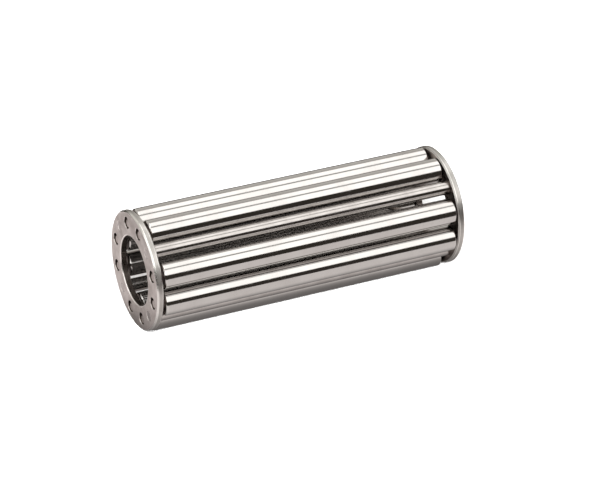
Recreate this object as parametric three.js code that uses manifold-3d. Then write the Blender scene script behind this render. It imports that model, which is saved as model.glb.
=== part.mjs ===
// A full-length caged roller bearing: two end rings joined by four tie bars, and eight long
// rollers that turn on trunnions in the rings. It has no races: the rollers run straight on
// a shaft inside them and in a bore around them.
//
// Millimetres. X is the bearing's axis and its origin is mid-length, +Z is up. Angles around
// the axis are counted from the top, towards -Y. The bearing lies on its side, so each loose
// roller hangs in its holes, a little below the centre of them.

import * as THREE from 'three';
import { mergeVertices } from 'three/addons/utils/BufferGeometryUtils.js';
import Module from 'manifold-3d';

const wasm = await Module();
wasm.setup();

// Driving dimensions
const OVERALL_LENGTH = 95;
const PITCH_RADIUS = 13.75;
const ROLLER_RADIUS = 3.75;

// Rollers
const ROLLER_PAIRS = 4;
const PAIR_HALF_ANGLE = 17.5;
const ROLLER_CHAMFER = 0.35;
const TRUNNION_RADIUS = 1.3;
const TRUNNION_CHAMFER = 0.2;
const TRUNNION_LENGTH = 2.35;
const LEFT_END_FLOAT = 0.7;
const RIGHT_END_FLOAT = 0.45;
const TRUNNION_REST_GAP = 0.1;

// End rings
const RING_RADIUS = 17.2;
const RING_BORE_RADIUS = 10.05;
const RING_THICKNESS = 2;
const RING_RIM_CHAMFER = 0.4;
const RING_BORE_CHAMFER = 0.2;
const ROLLER_HOLE_RADIUS = 1.75;

// Tie bars
const FIRST_BAR_ANGLE = 45;
const BAR_RADIUS = 2;
const BAR_CHAMFER = 0.1;
const TENON_RADIUS = 1.35;
const TENON_FIT_GAP = 0.05;

// Facets around each round shape
const RING_SIDES = 72;
const ROLLER_SIDES = 32;
const BAR_SIDES = 24;
const HOLE_SIDES = 20;

// Each roller drops until its trunnions rest in the holes.
const ROLLER_SAG = ROLLER_HOLE_RADIUS - TRUNNION_RADIUS - TRUNNION_REST_GAP;
const HALF_LENGTH = OVERALL_LENGTH / 2;
const RING_INNER_FACE = HALF_LENGTH - RING_THICKNESS;

const steel = (color, roughness, metalness) =>
  new THREE.MeshStandardMaterial({ color, roughness, metalness });

/** A solid turned about X from [x, radius] points that start and end on the axis. */
function turned(profile, sides) {
  const points = profile.map(([x, radius]) => new THREE.Vector2(radius, x));
  return new THREE.LatheGeometry(points, sides).rotateZ(-Math.PI / 2);
}

/** The manifold solid of a closed three.js geometry. */
function toSolid(geometry) {
  const bare = geometry.clone();
  bare.deleteAttribute('normal');
  bare.deleteAttribute('uv');
  const welded = mergeVertices(bare);
  return new wasm.Manifold(new wasm.Mesh({
    numProp: 3,
    vertProperties: new Float32Array(welded.attributes.position.array),
    triVerts: new Uint32Array(welded.index.array),
  }));
}

/** The three.js geometry of a manifold solid. */
function toGeometry(solid) {
  const mesh = solid.getMesh();
  const geometry = new THREE.BufferGeometry();
  geometry.setAttribute('position', new THREE.BufferAttribute(mesh.vertProperties, 3));
  geometry.setIndex(new THREE.BufferAttribute(mesh.triVerts, 1));
  geometry.computeVertexNormals();
  return geometry;
}

/** The point at an angle in degrees from the top, towards -Y, on the pitch circle. */
function onPitchCircle(degrees) {
  const angle = THREE.MathUtils.degToRad(degrees);
  return new THREE.Vector3(0, -PITCH_RADIUS * Math.sin(angle), PITCH_RADIUS * Math.cos(angle));
}

/** The angles of the eight rollers, as pairs on either side of each quarter turn. */
function rollerAngles() {
  const angles = [];
  for (let pair = 0; pair < ROLLER_PAIRS; pair += 1) {
    const middle = pair * 360 / ROLLER_PAIRS;
    angles.push(middle - PAIR_HALF_ANGLE, middle + PAIR_HALF_ANGLE);
  }
  return angles;
}

/** The angles of the tie bars, one between each two roller pairs. */
function barAngles() {
  return Array.from({ length: ROLLER_PAIRS }, (_, bar) => FIRST_BAR_ANGLE + bar * 360 / ROLLER_PAIRS);
}

/** A cylinder along X that cuts right through a ring at a point of its face. */
function holeCutter(centre, radius) {
  const cutter = new THREE.CylinderGeometry(radius, radius, 2 * RING_THICKNESS, HOLE_SIDES)
    .rotateZ(Math.PI / 2)
    .translate(centre.x, centre.y, centre.z);
  return toSolid(cutter);
}

/** One end ring about its own mid-plane, with roller holes and tie bar holes cut through it. */
function endRing() {
  const half = RING_THICKNESS / 2;
  const rim = [
    [-half, RING_BORE_RADIUS + RING_BORE_CHAMFER],
    [-half, RING_RADIUS - RING_RIM_CHAMFER],
    [-half + RING_RIM_CHAMFER, RING_RADIUS],
    [half - RING_RIM_CHAMFER, RING_RADIUS],
    [half, RING_RADIUS - RING_RIM_CHAMFER],
    [half, RING_BORE_RADIUS + RING_BORE_CHAMFER],
    [half - RING_BORE_CHAMFER, RING_BORE_RADIUS],
    [-half + RING_BORE_CHAMFER, RING_BORE_RADIUS],
    [-half, RING_BORE_RADIUS + RING_BORE_CHAMFER],
  ];
  let ring = toSolid(turned(rim, RING_SIDES));
  for (const angle of rollerAngles()) {
    ring = ring.subtract(holeCutter(onPitchCircle(angle), ROLLER_HOLE_RADIUS));
  }
  for (const angle of barAngles()) {
    ring = ring.subtract(holeCutter(onPitchCircle(angle), TENON_RADIUS + TENON_FIT_GAP));
  }
  return toGeometry(ring);
}

/** A long roller from its left trunnion's end to its right one, as it lies between the rings. */
function roller() {
  const leftShoulder = -RING_INNER_FACE + LEFT_END_FLOAT;
  const rightShoulder = RING_INNER_FACE - RIGHT_END_FLOAT;
  const leftEnd = leftShoulder - TRUNNION_LENGTH;
  const rightEnd = rightShoulder + TRUNNION_LENGTH;
  return turned([
    [leftEnd, 0],
    [leftEnd, TRUNNION_RADIUS - TRUNNION_CHAMFER],
    [leftEnd + TRUNNION_CHAMFER, TRUNNION_RADIUS],
    [leftShoulder, TRUNNION_RADIUS],
    [leftShoulder, ROLLER_RADIUS - ROLLER_CHAMFER],
    [leftShoulder + ROLLER_CHAMFER, ROLLER_RADIUS],
    [rightShoulder - ROLLER_CHAMFER, ROLLER_RADIUS],
    [rightShoulder, ROLLER_RADIUS - ROLLER_CHAMFER],
    [rightShoulder, TRUNNION_RADIUS],
    [rightEnd - TRUNNION_CHAMFER, TRUNNION_RADIUS],
    [rightEnd, TRUNNION_RADIUS - TRUNNION_CHAMFER],
    [rightEnd, 0],
  ], ROLLER_SIDES);
}

/** A tie bar: its shoulders stand against the rings and its tenons end just below their faces. */
function tieBar() {
  const end = HALF_LENGTH - TENON_FIT_GAP;
  const shoulder = RING_INNER_FACE - TENON_FIT_GAP;
  return turned([
    [-end, 0],
    [-end, TENON_RADIUS],
    [-shoulder, TENON_RADIUS],
    [-shoulder, BAR_RADIUS - BAR_CHAMFER],
    [-shoulder + BAR_CHAMFER, BAR_RADIUS],
    [shoulder - BAR_CHAMFER, BAR_RADIUS],
    [shoulder, BAR_RADIUS - BAR_CHAMFER],
    [shoulder, TENON_RADIUS],
    [end, TENON_RADIUS],
    [end, 0],
  ], BAR_SIDES);
}

/** A named mesh of one piece at its place. */
function piece(name, geometry, material, place) {
  const mesh = new THREE.Mesh(geometry, material);
  mesh.name = name;
  mesh.position.copy(place);
  return mesh;
}

/** Both end rings, mirrored about mid-length. */
function addEndRings(bearing) {
  const place = new THREE.Vector3(HALF_LENGTH - RING_THICKNESS / 2, 0, 0);
  const finish = () => steel(0xb4aaa8, 0.42, 1);
  bearing.add(piece('end_ring_left', endRing(), finish(), place.clone().negate()));
  bearing.add(piece('end_ring_right', endRing(), finish(), place));
}

/** The tie bars, in their order around the axis. */
function addTieBars(bearing) {
  barAngles().forEach((angle, index) => {
    const finish = steel(0xbdb6b2, 0.3, 1);
    bearing.add(piece(`tie_bar_${index + 1}`, tieBar(), finish, onPitchCircle(angle)));
  });
}

/** The rollers, in their order around the axis, each one dropped on to its trunnions. */
function addRollers(bearing) {
  const drop = new THREE.Vector3(0, 0, -ROLLER_SAG);
  rollerAngles().forEach((angle, index) => {
    const finish = steel(0xd6d3d0, 0.12, 1);
    const place = onPitchCircle(angle).add(drop);
    bearing.add(piece(`roller_${index + 1}`, roller(), finish, place));
  });
}

const bearing = new THREE.Group();
addEndRings(bearing);
addTieBars(bearing);
addRollers(bearing);

export default bearing;
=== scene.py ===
"""The looks of a full-length caged roller bearing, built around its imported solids.

Eight ground rollers turn on trunnions between two tumbled end rings, and four drawn tie bars
hold the rings apart. X is the bearing's axis, +Z is up and sizes are in metres. Angles around
the axis are counted from the top, towards -Y, as in the solid model.
"""

import logging
import math
from dataclasses import dataclass
from enum import Enum

import bmesh
import bpy
import numpy as np
from mathutils import Matrix, Vector


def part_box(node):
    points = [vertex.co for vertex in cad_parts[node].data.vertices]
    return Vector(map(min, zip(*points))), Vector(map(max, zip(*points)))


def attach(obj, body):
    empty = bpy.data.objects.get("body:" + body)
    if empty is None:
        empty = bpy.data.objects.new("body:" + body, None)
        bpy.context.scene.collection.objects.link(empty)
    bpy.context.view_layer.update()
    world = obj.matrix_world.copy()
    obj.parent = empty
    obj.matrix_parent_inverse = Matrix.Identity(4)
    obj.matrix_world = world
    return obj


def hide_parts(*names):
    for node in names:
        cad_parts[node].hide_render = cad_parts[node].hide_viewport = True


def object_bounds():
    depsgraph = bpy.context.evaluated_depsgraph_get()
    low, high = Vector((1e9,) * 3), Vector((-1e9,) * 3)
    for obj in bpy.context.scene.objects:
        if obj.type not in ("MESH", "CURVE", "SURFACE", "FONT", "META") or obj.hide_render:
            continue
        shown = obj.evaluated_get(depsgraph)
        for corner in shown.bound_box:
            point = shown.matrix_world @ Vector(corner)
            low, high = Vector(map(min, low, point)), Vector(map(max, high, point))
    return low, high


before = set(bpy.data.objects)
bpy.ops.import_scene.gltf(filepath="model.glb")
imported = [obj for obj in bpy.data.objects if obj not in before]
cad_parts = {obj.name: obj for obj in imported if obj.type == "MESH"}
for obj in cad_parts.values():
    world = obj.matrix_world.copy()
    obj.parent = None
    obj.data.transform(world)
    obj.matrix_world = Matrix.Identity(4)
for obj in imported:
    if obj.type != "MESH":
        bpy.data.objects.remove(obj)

LOG = logging.getLogger("bearing")
CAD_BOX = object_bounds()

MM = 0.001
MERGE_DISTANCE = 0.0005 * MM
SHARP_ANGLE = math.radians(32)
WEAR = "edge_wear"
GLOW = "glow"


class Side(Enum):
    """The end of the bearing that a ring closes, as the sign of its X."""

    LEFT = -1
    RIGHT = 1


class Zone(Enum):
    """The part of a piece that a finish covers, as its material's place in the mesh.

    MINOR is the inside of a ring or the ends of a bar or a roller, and RIM is the outer edge
    of a ring.
    """

    MAIN = 0
    MINOR = 1
    RIM = 2


class Grain(Enum):
    """The way that a steel surface was worked, which sets the run of its fine marks."""

    TUMBLED = "tumbled"
    GROUND = "ground"
    DRAWN = "drawn"
    TURNED = "turned"


# ---------------------------------------------------------------------------------------------
# Surfaces


def softened(corners: list[tuple[float, float]], reach: float, steps: int = 4) -> np.ndarray:
    """Rounds the inner corners of a profile.

    A corner P with unit directions u and v to its neighbours becomes the quadratic curve
    (1-s)^2 (P + reach u) + 2 s (1-s) P + s^2 (P + reach v), for s from 0 to 1, and a point
    at twice the reach on either side holds the flats beside it straight.

    Args:
        corners: (x, radius) points in order.
        reach: how far from each corner its rounding starts.
        steps: the pieces that each rounding has.

    Returns:
        Rows of (x, radius, wear), where wear is 1 on a rounding and 0 elsewhere.
    """
    points = np.asarray(corners, float)
    middle = points[1:-1, None, :]
    before = points[:-2, None, :] - middle
    after = points[2:, None, :] - middle
    before = before / np.linalg.norm(before, axis=2, keepdims=True)
    after = after / np.linalg.norm(after, axis=2, keepdims=True)
    s = np.linspace(0, 1, steps + 1)[None, :, None]
    curve = middle + reach * ((1 - s) ** 2 * before + s**2 * after)
    held = np.concatenate([middle + 2 * reach * before, curve, middle + 2 * reach * after], axis=1)
    wear = np.ones(held.shape[:2])
    wear[:, [0, -1]] = 0
    rows = np.concatenate([held, wear[:, :, None]], axis=2).reshape(-1, 3)
    return np.vstack([[*points[0], 0], rows, [*points[-1], 0]])


def around(radius: np.ndarray, angles: np.ndarray) -> np.ndarray:
    """The (y, z) of points at radius r and angle a from the top: (-r sin a, r cos a)."""
    return np.stack([-radius * np.sin(angles), radius * np.cos(angles)], axis=-1)


def revolved(profile: np.ndarray, angles: np.ndarray, centre: Vector) -> np.ndarray:
    """Carries a profile round an axis parallel to X.

    Point (i, j) is the centre plus (x_i, -r_i sin a_j, r_i cos a_j).

    Args:
        profile: rows of (x, radius, wear).
        angles: the turns around the axis, one for each column.
        centre: a point of the axis.

    Returns:
        The points, as rows x columns x 3.
    """
    radius = profile[:, 1][:, None] * np.ones(len(angles))
    x = profile[:, 0][:, None] * np.ones(len(angles))
    points = np.concatenate([x[..., None], around(radius, angles[None, :])], axis=2)
    return points + np.array(centre)


def full_turn(sides: int) -> np.ndarray:
    """Equal steps around a whole turn, without its last point."""
    return np.linspace(0, 2 * math.pi, sides, endpoint=False)


class Skin:
    """Grids of points that together close one piece's surface."""

    def __init__(self) -> None:
        """Starts with no grid."""
        self.points: list[np.ndarray] = []
        self.shares: list[np.ndarray] = []
        self.quads: list[np.ndarray] = []
        self.zones: list[np.ndarray] = []
        self.count = 0

    def add(self, points: np.ndarray, shares: np.ndarray, zones: np.ndarray) -> None:
        """Adds a grid whose columns close on themselves.

        Args:
            points: rows x columns x 3.
            shares: a value from 0 to 1 for each row or each point, such as how worn it is.
            zones: the Zone value of each strip between two rows.
        """
        rows, columns = points.shape[:2]
        index = np.arange(rows * columns).reshape(rows, columns) + self.count
        ahead = np.roll(index, -1, axis=1)
        corners = [index[:-1], ahead[:-1], ahead[1:], index[1:]]
        self.quads.append(np.stack(corners, axis=-1).reshape(-1, 4))
        self.points.append(points.reshape(-1, 3))
        self.shares.append(np.broadcast_to(shares.reshape(rows, -1), (rows, columns)).ravel())
        self.zones.append(np.repeat(zones, columns))
        self.count += rows * columns

    def piece(self, name: str, attribute: str = WEAR, merge: bool = True) -> bpy.types.Object:
        """Makes the mesh object: doubles merged, normals outward, corners shaded sharp.

        Args:
            name: the object's name.
            attribute: the name under which the mesh keeps the points' shares.
            merge: whether points at the same place become one, which a solid needs.

        Returns:
            The object, linked to the scene.
        """
        mesh = bpy.data.meshes.new(name)
        mesh.from_pydata(np.concatenate(self.points), [], np.concatenate(self.quads))
        mesh.polygons.foreach_set("material_index", np.concatenate(self.zones).astype(np.int32))
        kept = mesh.attributes.new(attribute, "FLOAT", "POINT")
        kept.data.foreach_set("value", np.concatenate(self.shares).astype(np.float32))
        if merge:
            shell = bmesh.new()
            shell.from_mesh(mesh)
            bmesh.ops.remove_doubles(shell, verts=shell.verts, dist=MERGE_DISTANCE)
            bmesh.ops.recalc_face_normals(shell, faces=shell.faces)
            shell.to_mesh(mesh)
            shell.free()
        mesh.shade_smooth()
        mesh.set_sharp_from_angle(angle=SHARP_ANGLE)
        made = bpy.data.objects.new(name, mesh)
        bpy.context.scene.collection.objects.link(made)
        return made


# ---------------------------------------------------------------------------------------------
# Finishes


class Nodes:
    """A short way to lay out shader nodes in one tree."""

    def __init__(self, tree: bpy.types.NodeTree) -> None:
        """Keeps the tree and clears it."""
        self.tree = tree
        tree.nodes.clear()

    def put(self, kind: str, inputs: dict[int | str, object] | None = None,
            **settings: object) -> bpy.types.Node:
        """Adds a node, sets its properties, and fills or links its inputs.

        Args:
            kind: the node's type.
            inputs: for each input's name or place, a value or the output that feeds it.
            **settings: the node's own properties.

        Returns:
            The node.
        """
        node = self.tree.nodes.new(kind)
        for name, value in settings.items():
            setattr(node, name, value)
        for key, value in (inputs or {}).items():
            if isinstance(value, bpy.types.NodeSocket):
                self.tree.links.new(value, node.inputs[key])
            else:
                node.inputs[key].default_value = value
        return node

    def maths(self, operation: str, first: object, second: object = 0.0) -> bpy.types.NodeSocket:
        """The result of one Math node."""
        node = self.put("ShaderNodeMath", {0: first, 1: second}, operation=operation)
        return node.outputs[0]

    def spread(self, value: bpy.types.NodeSocket, source: tuple[float, float],
               target: tuple[float, float]) -> bpy.types.NodeSocket:
        """A value carried from one range to another, and held at its ends."""
        sizes = {"From Min": source[0], "From Max": source[1], "To Min": target[0], "To Max": target[1]}
        return self.put("ShaderNodeMapRange", {"Value": value, **sizes}).outputs[0]

    def noise(self, coords: bpy.types.NodeSocket, scale: tuple[float, float, float],
              detail: float = 3.0,
              turn: tuple[float, float, float] = (0, 0, 0)) -> bpy.types.NodeSocket:
        """Noise with its own scale along each axis.

        Args:
            coords: where to read it.
            scale: cells to a metre along X, Y and Z.
            detail: the octaves of finer noise.
            turn: how the pattern is turned, in radians.

        Returns:
            The noise's value, about 0.3 to 0.7.
        """
        turned = self.put("ShaderNodeMapping", {"Vector": coords, "Rotation": turn})
        scaled = self.put("ShaderNodeMapping", {"Vector": turned.outputs[0], "Scale": scale})
        inputs = {"Vector": scaled.outputs[0], "Scale": 1.0, "Detail": detail, "Roughness": 0.55}
        return self.put("ShaderNodeTexNoise", inputs).outputs[0]

    def blend(self, share: object, first: object, second: object) -> bpy.types.NodeSocket:
        """Mixes two colours.

        Args:
            share: how much of the second colour there is, from 0 to 1.
            first: a colour, or the output that gives it.
            second: the other one.

        Returns:
            The mixed colour.
        """
        node = self.put("ShaderNodeMix", data_type="RGBA")
        for place, value in ((0, share), (6, first), (7, second)):
            if isinstance(value, bpy.types.NodeSocket):
                self.tree.links.new(value, node.inputs[place])
            else:
                node.inputs[place].default_value = value
        return node.outputs[2]


@dataclass(frozen=True)
class Run:
    """How the marks of a grain lie.

    Args:
        fine: the fine noise's cells to a metre along X, Y and Z.
        fine_octaves: its detail.
        broad: the broad noise's cells to a metre along X, Y and Z.
        broad_octaves: its detail.
    """

    fine: tuple[float, float, float]
    fine_octaves: float
    broad: tuple[float, float, float]
    broad_octaves: float


RUNS = {
    Grain.TUMBLED: Run((4200, 4200, 4200), 4, (1100, 1100, 1100), 3),
    Grain.GROUND: Run((5200, 420, 420), 2, (900, 160, 160), 2),
    Grain.DRAWN: Run((55, 6200, 6200), 3, (24, 1900, 1900), 2),
    Grain.TURNED: Run((900, 5200, 5200), 3, (400, 1400, 1400), 2),
}
SCRATCHES = (700, 9000, 350)
SCRATCH_TURN = (0.6, 0.3, 0.8)


@dataclass(frozen=True)
class Steel:
    """A worked steel surface.

    Args:
        name: the material's name.
        grain: how it was worked.
        tone: its colour.
        stain: the colour that it drifts to in patches.
        worn: its colour on rubbed edges.
        roughness: the least and the greatest roughness over its patches.
        relief: the depth of its fine marks.
        patch: patches to a metre.
    """

    name: str
    grain: Grain
    tone: tuple[float, float, float]
    stain: tuple[float, float, float]
    worn: tuple[float, float, float]
    roughness: tuple[float, float]
    relief: float
    patch: float = 240.0

    def marks(self, nodes: Nodes, coords: bpy.types.NodeSocket) -> bpy.types.NodeSocket:
        """The height of the fine marks, as a share of the relief.

        Six parts of a fine noise and four of a broad one, with a few stray scratches cut in.
        The noise is stretched along the marks: not at all on a tumbled face, around the axis
        on a ground one, and lengthwise on a drawn or turned one.

        Args:
            nodes: the material's nodes.
            coords: the piece's own coordinates.

        Returns:
            The height.
        """
        run = RUNS[self.grain]
        fine = nodes.noise(coords, run.fine, run.fine_octaves)
        broad = nodes.noise(coords, run.broad, run.broad_octaves)
        scratch = nodes.noise(coords, SCRATCHES, 2, SCRATCH_TURN)
        cut = nodes.spread(scratch, (0.60, 0.68), (0.0, -0.5))
        both = nodes.maths("ADD", nodes.maths("MULTIPLY", fine, 0.6), nodes.maths("MULTIPLY", broad, 0.4))
        return nodes.maths("ADD", both, cut)

    def material(self) -> bpy.types.Material:
        """Builds the material, or returns it if it is there already.

        The tone drifts to the stain in broad patches and in the marks, and to the worn colour
        on the edges. Those are smoother too, and the rest goes between the two roughnesses.

        Returns:
            The material.
        """
        if self.name in bpy.data.materials:
            return bpy.data.materials[self.name]
        made = bpy.data.materials.new(self.name)
        made.use_nodes = True
        nodes = Nodes(made.node_tree)
        coords = nodes.put("ShaderNodeTexCoord").outputs["Object"]
        edge = nodes.put("ShaderNodeAttribute", attribute_name=WEAR).outputs["Fac"]
        marks = self.marks(nodes, coords)
        patches = nodes.noise(coords, (self.patch,) * 3, 5)
        stained = nodes.spread(patches, (0.38, 0.66), (0.0, 1.0))
        marked = nodes.spread(marks, (0.35, 0.65), (0.0, 0.35))
        share = nodes.maths("ADD", nodes.maths("MULTIPLY", stained, 0.7), marked)
        colour = nodes.blend(share, (*self.tone, 1), (*self.stain, 1))
        rubbed = nodes.maths("MULTIPLY", edge, 0.8)
        colour = nodes.blend(rubbed, colour, (*self.worn, 1))
        rough = nodes.spread(patches, (0.36, 0.64), self.roughness)
        rough = nodes.maths("MULTIPLY", rough, nodes.spread(edge, (0, 1), (1.0, 0.55)))
        height = {"Height": marks, "Strength": 1.0, "Distance": self.relief}
        bump = nodes.put("ShaderNodeBump", height)
        shader = nodes.put("ShaderNodeBsdfPrincipled", {
            "Base Color": colour,
            "Metallic": 1.0,
            "Roughness": rough,
            "Normal": bump.outputs[0],
        })
        nodes.put("ShaderNodeOutputMaterial", {"Surface": shader.outputs[0]})
        return made


RING_STEEL = Steel(
    name="ring_tumbled_steel", grain=Grain.TUMBLED,
    tone=(0.655, 0.60, 0.58), stain=(0.49, 0.44, 0.42), worn=(0.92, 0.88, 0.85),
    roughness=(0.40, 0.56), relief=0.022 * MM,
)
RING_RIM_STEEL = Steel(
    name="ring_turned_rim_steel", grain=Grain.TUMBLED,
    tone=(0.50, 0.48, 0.46), stain=(0.36, 0.345, 0.325), worn=(0.86, 0.84, 0.81),
    roughness=(0.34, 0.50), relief=0.018 * MM,
)
# Painted shade: this dark tone on the rings' hole walls, bore and inner faces stands for the shade
# between the rings and the rollers.
RING_INSIDE_SHADED_STEEL = Steel(
    name="ring_inside_painted_shade_steel", grain=Grain.TUMBLED,
    tone=(0.24, 0.205, 0.185), stain=(0.15, 0.125, 0.11), worn=(0.34, 0.30, 0.28),
    roughness=(0.26, 0.38), relief=0.010 * MM,
)
ROLLER_STEEL = Steel(
    name="roller_ground_steel", grain=Grain.GROUND,
    tone=(0.575, 0.56, 0.545), stain=(0.52, 0.50, 0.485), worn=(0.64, 0.625, 0.61),
    roughness=(0.08, 0.15), relief=0.0008 * MM, patch=120.0,
)
ROLLER_END_STEEL = Steel(
    name="roller_turned_end_steel", grain=Grain.TURNED,
    tone=(0.53, 0.47, 0.45), stain=(0.42, 0.37, 0.35), worn=(0.46, 0.41, 0.39),
    roughness=(0.36, 0.50), relief=0.008 * MM,
)
BAR_STEEL = Steel(
    name="bar_drawn_steel", grain=Grain.DRAWN,
    tone=(0.50, 0.475, 0.46), stain=(0.40, 0.375, 0.36), worn=(0.56, 0.53, 0.51),
    roughness=(0.14, 0.24), relief=0.004 * MM,
)
BAR_END_STEEL = Steel(
    name="bar_peened_end_steel", grain=Grain.TUMBLED,
    tone=(0.50, 0.455, 0.44), stain=(0.40, 0.355, 0.34), worn=(0.42, 0.375, 0.36),
    roughness=(0.28, 0.40), relief=0.014 * MM,
)


def dress(piece: bpy.types.Object, finishes: dict[Zone, Steel]) -> None:
    """Gives each zone of a piece its finish, in the order of the zones."""
    for zone in sorted(finishes, key=lambda each: each.value):
        piece.data.materials.append(finishes[zone].material())


def place_on_body(piece: bpy.types.Object, node: str, body: str) -> None:
    """Lets a piece stand for its CAD node.

    Args:
        piece: the finished piece.
        node: the CAD node that it replaces.
        body: the CAD body that it moves with.
    """
    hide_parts(node)
    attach(piece, body)
    LOG.info("%s on %s: %d faces", piece.name, body, len(piece.data.polygons))


# ---------------------------------------------------------------------------------------------
# Sub-assemblies


def span(node: str) -> tuple[float, float]:
    """A CAD node's lowest and highest X."""
    low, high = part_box(node)
    return low.x, high.x


def axis_of(node: str) -> Vector:
    """A point of a CAD node's own axis, at X = 0."""
    low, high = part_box(node)
    return Vector((0, (low.y + high.y) / 2, (low.z + high.z) / 2))


@dataclass
class Cage:
    """The two end rings and the four tie bars between them.

    Args:
        pairs: the roller pairs around the axis, which is also the number of tie bars.
        pair_half_angle: from the middle of a pair to each of its rollers, in degrees.
        bore_radius: inside the end rings.
        rim_chamfer: on the rings' outer edges.
        bore_chamfer: on the rings' inner edges.
        roller_hole: the radius of the holes that the trunnions turn in.
        tenon_hole: the radius of the holes that the bars are riveted into.
        hole_chamfer: on each hole's edges.
        face_margin: from a chamfer to the grid of cells on a ring's face.
        tenon_radius: of the bars' ends.
        tenon_nip: the chamfer on the tenons' edges.
        bar_chamfer: on the bars' shoulders.
        edge_reach: how far the softening of a ring's outer and inner edges reaches.
        hole_edge_reach: the same for the edges of the holes.
        bar_edge_reach: the same for the bars.
        arc_steps: the columns along a cell's inner or outer arc.
        side_steps: the columns along each of its straight sides.
        bar_sides: the columns around a bar.
    """

    pairs: int = 4
    pair_half_angle: float = 17.5
    bore_radius: float = 10.05 * MM
    rim_chamfer: float = 0.4 * MM
    bore_chamfer: float = 0.2 * MM
    roller_hole: float = 1.75 * MM
    tenon_hole: float = 1.385 * MM
    hole_chamfer: float = 0.1 * MM
    face_margin: float = 0.3 * MM
    tenon_radius: float = 1.36 * MM
    tenon_nip: float = 0.08 * MM
    bar_chamfer: float = 0.12 * MM
    edge_reach: float = 0.06 * MM
    hole_edge_reach: float = 0.03 * MM
    bar_edge_reach: float = 0.03 * MM
    arc_steps: int = 20
    side_steps: int = 12
    bar_sides: int = 72

    def cells(self) -> list[tuple[float, float, float, float]]:
        """The cells of a ring's face, each with one hole.

        Returns:
            For each cell its first and last angle, its hole's angle and its hole's radius, in
            order around the axis and without a gap.
        """
        quarter = 360 / self.pairs
        border = (self.pair_half_angle + quarter / 2) / 2
        around_axis = []
        for pair in range(self.pairs):
            middle = pair * quarter
            around_axis += [
                (middle - border, middle, middle - self.pair_half_angle, self.roller_hole),
                (middle, middle + border, middle + self.pair_half_angle, self.roller_hole),
                (middle + border, middle + quarter - border, middle + quarter / 2, self.tenon_hole),
            ]
        return around_axis

    def cell_border(self, first: float, last: float, inner: float, outer: float) -> np.ndarray:
        """The closed outline of a cell, walked along its inner arc, out, back and in.

        Args:
            first: the angle where the cell starts, in radians.
            last: the angle where it ends.
            inner: the radius of its inner arc.
            outer: the radius of its outer arc.

        Returns:
            Its (y, z) points.
        """
        along = np.arange(self.arc_steps) / self.arc_steps
        up = np.arange(self.side_steps) / self.side_steps
        angles = np.concatenate([
            first + (last - first) * along, np.full(len(up), last),
            last + (first - last) * along, np.full(len(up), first),
        ])
        radii = np.concatenate([
            np.full(len(along), inner), inner + (outer - inner) * up,
            np.full(len(along), outer), outer + (inner - outer) * up,
        ])
        return around(radii, angles)

    def add_cell(self, skin: Skin, cell: tuple[float, float, float, float],
                 faces: tuple[float, float], radii: tuple[float, float]) -> None:
        """Adds a cell: one ring face, the wall of its hole, and the other face.

        Column j runs from the cell's border B_j straight to the point of the hole's circle
        that faces it, C + R (B_j - C)/|B_j - C|, then through the ring and back out. Three
        rows at even shares of the way fill each face.

        Args:
            skin: the ring's surface.
            cell: the cell's two border angles, its hole's angle and its hole's radius.
            faces: the X of the ring's outer and inner face.
            radii: the radii between which the cells lie.
        """
        first, last, middle, hole = cell
        border = self.cell_border(math.radians(first), math.radians(last), *radii)
        centre = around(np.array(self.pitch_radius()), np.array(math.radians(middle)))
        outward = border - centre
        outward = outward / np.linalg.norm(outward, axis=1, keepdims=True)
        inset = math.copysign(self.hole_chamfer, faces[1] - faces[0])
        wall = softened([
            (faces[0], hole + 3 * self.hole_chamfer), (faces[0], hole + self.hole_chamfer),
            (faces[0] + inset, hole), (faces[1] - inset, hole),
            (faces[1], hole + self.hole_chamfer), (faces[1], hole + 3 * self.hole_chamfer),
        ], self.hole_edge_reach, 3)
        circles = centre + wall[:, 1][:, None, None] * outward
        shares = np.array([1.0, 0.66, 0.33])[:, None, None]
        front = shares * border + (1 - shares) * circles[0]
        back = shares[::-1] * border + (1 - shares[::-1]) * circles[-1]
        plane = np.concatenate([front, circles, back])
        flat = np.ones(len(shares))
        x = np.concatenate([flat * faces[0], wall[:, 0], flat * faces[1]])
        points = np.concatenate([x[:, None, None] * np.ones((*plane.shape[:2], 1)), plane], axis=2)
        wear = np.concatenate([0 * flat, wall[:, 2], 0 * flat])
        # Painted shade: the hole's wall and the ring's inner face take the dark inside finish.
        inside = np.abs(x[1:] - faces[0]) > 1.5 * self.hole_chamfer
        skin.add(points, wear, np.where(inside, Zone.MINOR.value, Zone.MAIN.value))

    def pitch_radius(self) -> float:
        """The radius of the circle that the tie bars stand on."""
        return axis_of("tie_bar_1").length

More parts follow.
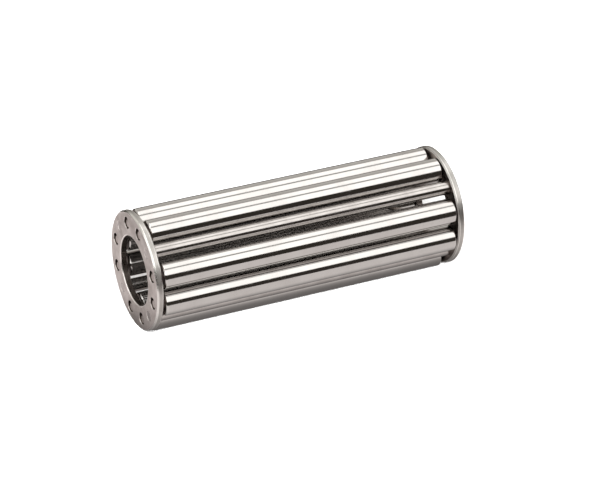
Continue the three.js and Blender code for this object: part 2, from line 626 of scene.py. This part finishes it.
    def end_ring(self, side: Side) -> bpy.types.Object:
        """Builds one end ring, drilled through, with chamfered rim, bore and holes.

        Its faces are the drilled cells, and two turned strips close it at the rim and at the
        bore. The inside finish is a dark tone of painted shade on the hole walls, the bore and the
        inner face, and it starts at the strip's own distance from the outer face.

        Args:
            side: the end that it closes.

        Returns:
            The dressed ring.
        """
        node = f"end_ring_{side.name.lower()}"
        low, high = span(node)
        outer_face, inner_face = (low, high) if side is Side.LEFT else (high, low)
        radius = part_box(node)[1].z
        inset = math.copysign(1.0, inner_face - outer_face)
        inner = self.bore_radius + self.bore_chamfer + self.face_margin
        outer = radius - self.rim_chamfer - self.face_margin
        skin = Skin()
        angles = []
        for cell in self.cells():
            self.add_cell(skin, cell, (outer_face, inner_face), (inner, outer))
            angles.append(np.linspace(*np.radians(cell[:2]), self.arc_steps, endpoint=False))
        turns = np.concatenate(angles)
        for edge, flat, chamfer, edge_zone, shown in (
            (radius, outer, self.rim_chamfer, Zone.RIM, high - low),
            (self.bore_radius, inner, self.bore_chamfer, Zone.MAIN, 1.2 * self.bore_chamfer),
        ):
            step = math.copysign(chamfer, flat - edge)
            strip = softened([
                (outer_face, flat), (outer_face, edge + step), (outer_face + inset * chamfer, edge),
                (inner_face - inset * chamfer, edge), (inner_face, edge + step), (inner_face, flat),
            ], self.edge_reach)
            bevel = (np.abs(strip[:, 0] - outer_face) < chamfer) & (np.abs(strip[:, 1] - edge) < chamfer)
            strip[bevel, 2] = 1
            middle = (strip[1:] + strip[:-1]) / 2
            # Painted shade: the bore and the ring's inner face take the dark inside finish.
            inside = np.abs(middle[:, 0] - outer_face) > shown - MERGE_DISTANCE
            at_edge = np.abs(middle[:, 1] - edge) < chamfer
            zones = np.where(at_edge, edge_zone.value, Zone.MAIN.value)
            skin.add(revolved(strip, turns, Vector()), strip[:, 2],
                     np.where(inside, Zone.MINOR.value, zones))
        ring = skin.piece(f"{node}_drilled")
        dress(ring, {Zone.MAIN: RING_STEEL, Zone.MINOR: RING_INSIDE_SHADED_STEEL, Zone.RIM: RING_RIM_STEEL})
        place_on_body(ring, node, "cage")
        return ring

    def tie_bar(self, number: int) -> bpy.types.Object:
        """Builds one tie bar, shouldered against the rings, with a chamfered tenon at each end.

        Args:
            number: its place around the axis, from 1.

        Returns:
            The dressed bar.
        """
        node = f"tie_bar_{number}"
        low, high = span(node)
        shoulder_low, shoulder_high = span("end_ring_left")[1], span("end_ring_right")[0]
        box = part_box(node)
        radius = (box[1].y - box[0].y) / 2
        chamfer = self.bar_chamfer
        thin, nip = self.tenon_radius, self.tenon_nip
        profile = softened([
            (low, 0), (low, thin - nip), (low + nip, thin), (shoulder_low, thin),
            (shoulder_low, radius - chamfer), (shoulder_low + chamfer, radius),
            (shoulder_high - chamfer, radius), (shoulder_high, radius - chamfer),
            (shoulder_high, thin), (high - nip, thin), (high, thin - nip), (high, 0),
        ], self.bar_edge_reach)
        middles = (profile[1:, 0] + profile[:-1, 0]) / 2
        ends = (middles < shoulder_low) | (middles > shoulder_high)
        skin = Skin()
        skin.add(revolved(profile, full_turn(self.bar_sides), axis_of(node)), profile[:, 2],
                 np.where(ends, Zone.MINOR.value, Zone.MAIN.value))
        bar = skin.piece(f"{node}_drawn")
        dress(bar, {Zone.MAIN: BAR_STEEL, Zone.MINOR: BAR_END_STEEL})
        place_on_body(bar, node, "cage")
        return bar

    def build(self) -> None:
        """Builds the rings and the bars."""
        for side in Side:
            self.end_ring(side)
        for number in range(1, self.pairs + 1):
            self.tie_bar(number)


@dataclass
class RollerSet:
    """The eight loose rollers.

    Args:
        count: the rollers around the axis.
        end_float: from the left and the right ring to a roller's shoulders at rest.
        chamfer: on a roller's edges.
        trunnion_radius: of the ends that turn in the rings.
        trunnion_chamfer: on the trunnions' edges.
        relief: how much thinner a roller is at the very end of its relieved stretch.
        relief_length: the length of that stretch.
        relief_steps: the rows that its curve has.
        edge_reach: how far the softening of an edge reaches.
        end_margin: how far the end finish goes past a shoulder.
        sides: the columns around a roller.
    """

    count: int = 8
    end_float: tuple[float, float] = (0.7 * MM, 0.45 * MM)
    chamfer: float = 0.35 * MM
    trunnion_radius: float = 1.3 * MM
    trunnion_chamfer: float = 0.2 * MM
    relief: float = 0.02 * MM
    relief_length: float = 3.0 * MM
    relief_steps: int = 6
    edge_reach: float = 0.09 * MM
    end_margin: float = 0.02 * MM
    sides: int = 96

    def relieved(self, start: float, end: float, radius: float) -> list[tuple[float, float]]:
        """The body's profile: straight, and falling by the square of the way into each relief.

        Args:
            start: the body's first X.
            end: its last X.
            radius: its radius at mid-length.

        Returns:
            Its (x, radius) points.
        """
        share = np.linspace(1, 0, self.relief_steps)
        drop = radius - self.relief * share**2
        left = start + self.relief_length * (1 - share)
        right = end - self.relief_length * (1 - share)
        x = np.concatenate([left, right[::-1]])
        return list(zip(x.tolist(), np.concatenate([drop, drop[::-1]]).tolist()))

    def roller(self, number: int) -> bpy.types.Object:
        """Builds one roller: trunnion, shoulder, ground body, shoulder and trunnion.

        Each end's corners are softened up to a point that shows the way into the body, and
        that point is then left out.

        Args:
            number: its place around the axis, from 1.

        Returns:
            The dressed roller.
        """
        node = f"roller_{number}"
        low, high = span(node)
        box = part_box(node)
        radius = (box[1].y - box[0].y) / 2
        left = span("end_ring_left")[1] + self.end_float[0]
        right = span("end_ring_right")[0] - self.end_float[1]
        thin, nip = self.trunnion_radius, self.trunnion_chamfer
        inward = 4 * self.chamfer
        ends = [(low, 0.0), (low, thin - nip), (low + nip, thin), (left, thin),
                (left, radius - self.chamfer), (left + self.chamfer, radius - self.relief)]
        others = [(right - self.chamfer, radius - self.relief), (right, radius - self.chamfer),
                  (right, thin), (high - nip, thin), (high, thin - nip), (high, 0.0)]
        first = softened(ends + [(left + inward, radius)], self.edge_reach)[:-1]
        last = softened([(right - inward, radius)] + others, self.edge_reach)[1:]
        body = np.array(self.relieved(first[-1, 0] + self.chamfer, last[0, 0] - self.chamfer, radius))
        body = np.column_stack([body, np.zeros(len(body))])
        profile = np.vstack([first, body, last])
        middles = (profile[1:, 0] + profile[:-1, 0]) / 2
        outside = (middles < left + self.end_margin) | (middles > right - self.end_margin)
        skin = Skin()
        skin.add(revolved(profile, full_turn(self.sides), axis_of(node)), profile[:, 2],
                 np.where(outside, Zone.MINOR.value, Zone.MAIN.value))
        roller = skin.piece(f"{node}_ground")
        dress(roller, {Zone.MAIN: ROLLER_STEEL, Zone.MINOR: ROLLER_END_STEEL})
        place_on_body(roller, node, node)
        return roller

    def build(self) -> None:
        """Builds all the rollers."""
        for number in range(1, self.count + 1):
            self.roller(number)


# ---------------------------------------------------------------------------------------------
# Studio


@dataclass
class Studio:
    """The camera, the pale floor and the soft light around the bearing.

    The polished steel mirrors two things only: level panels of light that run along the
    bearing, and a round glowing table top with a painted shadow of the bearing. The paper and the key
    light are hidden from it.

    Args:
        lens: the camera's focal length in millimetres, on a 36 mm sensor.
        camera_place: the camera's place.
        azimuth: the direction it looks in, as in the CAD views, in degrees.
        elevation: how far it looks down, in degrees.
        roll: how far it is turned about its own axis, in degrees.
        sweep_radius: of the round paper sweep that is floor and backdrop in one.
        sweep_height: how high its wall rises.
        sweep_bend: the radius of the bend between them.
        paper_tone: how much light the paper sends back.
        paper_glow: the light that the far paper gives off itself, so that it stays white.
        glow_start: the radius where that glow starts.
        glow_full: the radius where it is full.
        key_distance: from the bearing to the soft key light on the camera's side.
        key_elevation: of the key light, in degrees.
        key_size: its width and height.
        key_power: its power in watts.
        table_radius: of the round table top that only the steel mirrors.
        table_back: how far its middle lies behind the bearing.
        table_level: its radiance.
        table_tint: its colour.
        shade_width: half the width of the strip where the painted shadow of the bearing is
            deepest, as a share of the bearing's radius.
        shade_reach: how far the painted shadow spreads beyond that strip.
        deepest_shade: the share of the radiance that is left in it.
        light: the radiance that a band of level 1 has.
    """

    lens: float = 180.7
    camera_place: tuple[float, float, float] = (-0.31469, -0.69808, 0.38187)
    azimuth: float = -24.499
    elevation: float = 26.577
    roll: float = -1.048
    sweep_radius: float = 3.0
    sweep_height: float = 1.6
    sweep_bend: float = 0.8
    paper_tone: float = 0.5
    paper_glow: float = 0.6
    glow_start: float = 0.03
    glow_full: float = 0.16
    key_distance: float = 1.6
    key_elevation: float = 31.0
    key_size: float = 0.5
    key_power: float = 130.0
    table_radius: float = 0.125
    table_back: float = 0.03
    table_level: float = 0.92
    table_tint: tuple[float, float, float] = (1.0, 0.945, 0.925)
    shade_width: float = 0.3
    shade_reach: float = 0.018
    deepest_shade: float = 0.2
    light: float = 2.0

    def bands(self) -> list[tuple[float, float, tuple[float, float, float]]]:
        """The light around the bearing's axis.

        Returns:
            For each band its first and last angle from the top in degrees, positive towards
            the front, and its colour as a share of the full light.
        """
        white = (0.96, 0.95, 0.93)
        seam = (0.24, 0.24, 0.23)
        grey = (0.29, 0.28, 0.265)
        dim = (0.36, 0.35, 0.33)
        dark = (0.022, 0.019, 0.016)
        return [
            (-180, -81, dark), (-76, -42, dim), (-40, -29, grey), (-27, 8, white),
            (12, 20, seam), (24, 66, white), (68, 180, dark),
        ]

    def camera(self) -> None:
        """Makes the scene's camera.

        Its right and up are turned from the level ones by the roll, and its back points
        against the direction given by azimuth a and elevation e:
        (-sin a cos e, cos a cos e, -sin e).
        """
        a, e, roll = (math.radians(each) for each in (self.azimuth, self.elevation, self.roll))
        ahead = Vector((-math.sin(a) * math.cos(e), math.cos(a) * math.cos(e), -math.sin(e)))
        level = Vector((math.cos(a), math.sin(a), 0))
        upright = level.cross(ahead)
        right = math.cos(roll) * level + math.sin(roll) * upright
        up = -math.sin(roll) * level + math.cos(roll) * upright
        data = bpy.data.cameras.new("camera")
        data.lens = self.lens
        data.sensor_width = 36.0
        data.clip_start = 0.01
        data.clip_end = 20.0
        camera = bpy.data.objects.new("camera", data)
        turned = Matrix((right, up, -ahead)).transposed().to_4x4()
        camera.matrix_world = Matrix.Translation(self.camera_place) @ turned
        bpy.context.scene.collection.objects.link(camera)
        bpy.context.scene.camera = camera

    def surround(self) -> None:
        """Makes the soft light: level panels that run along the bearing's axis.

        The angle from the top of a direction (x, y, z) is atan2(-y, z), and a ramp over the
        whole turn holds the bands.
        """
        world = bpy.data.worlds.new("soft_light")
        bpy.context.scene.world = world
        world.use_nodes = True
        nodes = Nodes(world.node_tree)
        direction = nodes.put("ShaderNodeTexCoord").outputs["Generated"]
        parts = nodes.put("ShaderNodeSeparateXYZ", {0: direction})
        toward = nodes.maths("MULTIPLY", parts.outputs[1], -1.0)
        angle = nodes.maths("ARCTAN2", toward, parts.outputs[2])
        share = nodes.spread(angle, (-math.pi, math.pi), (0.0, 1.0))
        ramp = nodes.put("ShaderNodeValToRGB", {0: share})
        stops = ramp.color_ramp.elements
        while len(stops) > 1:
            stops.remove(stops[-1])
        for first, last, colour in self.bands():
            for edge in (first, last):
                stop = stops.new(edge / 360 + 0.5)
                stop.color = (*colour, 1)
        stops.remove(stops[0])
        glow = nodes.put("ShaderNodeBackground", {0: ramp.outputs[0], 1: self.light})
        nodes.put("ShaderNodeOutputWorld", {0: glow.outputs[0]})

    def key_light(self) -> None:
        """Makes the soft key light, which lights the paper and isn't mirrored by the steel."""
        a, e = math.radians(self.azimuth), math.radians(self.key_elevation)
        back = Vector((math.sin(a) * math.cos(e), -math.cos(a) * math.cos(e), math.sin(e)))
        data = bpy.data.lights.new("key_light", "AREA")
        data.size = self.key_size
        data.energy = self.key_power
        light = bpy.data.objects.new("key_light", data)
        turned = back.to_track_quat("Z", "Y").to_matrix().to_4x4()
        light.matrix_world = Matrix.Translation(back * self.key_distance) @ turned
        light.visible_glossy = False
        bpy.context.scene.collection.objects.link(light)

    def sweep(self) -> None:
        """Makes the round paper sweep: a level disc, a quarter bend and an upright wall.

        Its own glow is a smooth step of the radius, so that the paper under the bearing is
        lit by the lights alone.
        """
        floor = CAD_BOX[0].z
        near = np.linspace(0, self.glow_full, 9)
        bend = np.linspace(0, math.pi / 2, 17)
        bend_x = self.sweep_radius - self.sweep_bend + self.sweep_bend * np.sin(bend)
        bend_z = self.sweep_bend * (1 - np.cos(bend))
        radius = np.concatenate([near, bend_x, [self.sweep_radius]])
        height = floor + np.concatenate([np.zeros(len(near)), bend_z, [self.sweep_height]])
        turns = full_turn(128)
        points = np.stack([
            radius[:, None] * np.cos(turns), radius[:, None] * np.sin(turns),
            height[:, None] * np.ones(len(turns)),
        ], axis=-1)
        share = np.clip((radius - self.glow_start) / (self.glow_full - self.glow_start), 0, 1)
        skin = Skin()
        skin.add(points, share * share * (3 - 2 * share), np.zeros(len(radius) - 1))
        paper = skin.piece("paper_sweep", GLOW, merge=False)
        paper.visible_glossy = False
        made = bpy.data.materials.new("white_paper")
        made.use_nodes = True
        nodes = Nodes(made.node_tree)
        share_lit = nodes.put("ShaderNodeAttribute", attribute_name=GLOW).outputs["Fac"]
        shader = nodes.put("ShaderNodeBsdfPrincipled", {
            "Base Color": (self.paper_tone, self.paper_tone, self.paper_tone, 1),
            "Roughness": 0.9,
            "Emission Color": (1, 1, 1, 1),
            "Emission Strength": nodes.maths("MULTIPLY", share_lit, self.paper_glow),
        })
        nodes.put("ShaderNodeOutputMaterial", {"Surface": shader.outputs[0]})
        paper.data.materials.append(made)

    def mirrored_table(self) -> None:
        """Makes the glowing table top that only the steel's reflections see, with a painted shadow of the
        bearing.

        With d the distance outside the strip of deepest painted shadow and s = d / reach, held
        at 1, its radiance goes from the deepest painted shadow to the full level by 3 s^2 - 2 s^3.
        """
        turns = full_turn(128)
        radius = np.linspace(0, 1, 61)[:, None] * self.table_radius
        x = radius * np.cos(turns)
        y = radius * np.sin(turns) + self.table_back
        size = CAD_BOX[1]
        # Painted shadow: the table's glow is dimmed under and beside the bearing, as if the bearing
        # shaded it.
        past_end = np.maximum(np.abs(x) - size.x, 0)
        past_side = np.maximum(np.abs(y) - self.shade_width * size.y, 0)
        s = np.clip(np.hypot(past_end, past_side) / self.shade_reach, 0, 1)
        share_left_by_painted_shadow = self.deepest_shade + (1 - self.deepest_shade) * (3 * s**2 - 2 * s**3)
        level = self.table_level * share_left_by_painted_shadow
        height = np.full(x.shape, CAD_BOX[0].z)
        skin = Skin()
        skin.add(np.stack([x, y, height], axis=-1), level, np.zeros(len(radius) - 1))
        table = skin.piece("mirrored_table", GLOW, merge=False)
        for ray in ("camera", "diffuse", "transmission", "volume_scatter", "shadow"):
            setattr(table, f"visible_{ray}", False)
        made = bpy.data.materials.new("glowing_table_with_painted_shadow")
        made.use_nodes = True
        nodes = Nodes(made.node_tree)
        lit = nodes.put("ShaderNodeAttribute", attribute_name=GLOW).outputs["Fac"]
        shader = nodes.put("ShaderNodeEmission", {"Color": (*self.table_tint, 1), "Strength": lit})
        nodes.put("ShaderNodeOutputMaterial", {"Surface": shader.outputs[0]})
        table.data.materials.append(made)

    def build(self) -> None:
        """Sets up the camera, the light, the paper and the plain colour transform."""
        bpy.context.scene.view_settings.view_transform = "Standard"
        self.camera()
        self.surround()
        self.key_light()
        self.sweep()
        self.mirrored_table()


def main() -> None:
    """Builds the studio and then the bearing, from the cage to the rollers."""
    logging.basicConfig(level=logging.INFO, format="%(name)s: %(message)s")
    Studio().build()
    Cage().build()
    RollerSet().build()


if __name__ == "__main__":
    main()
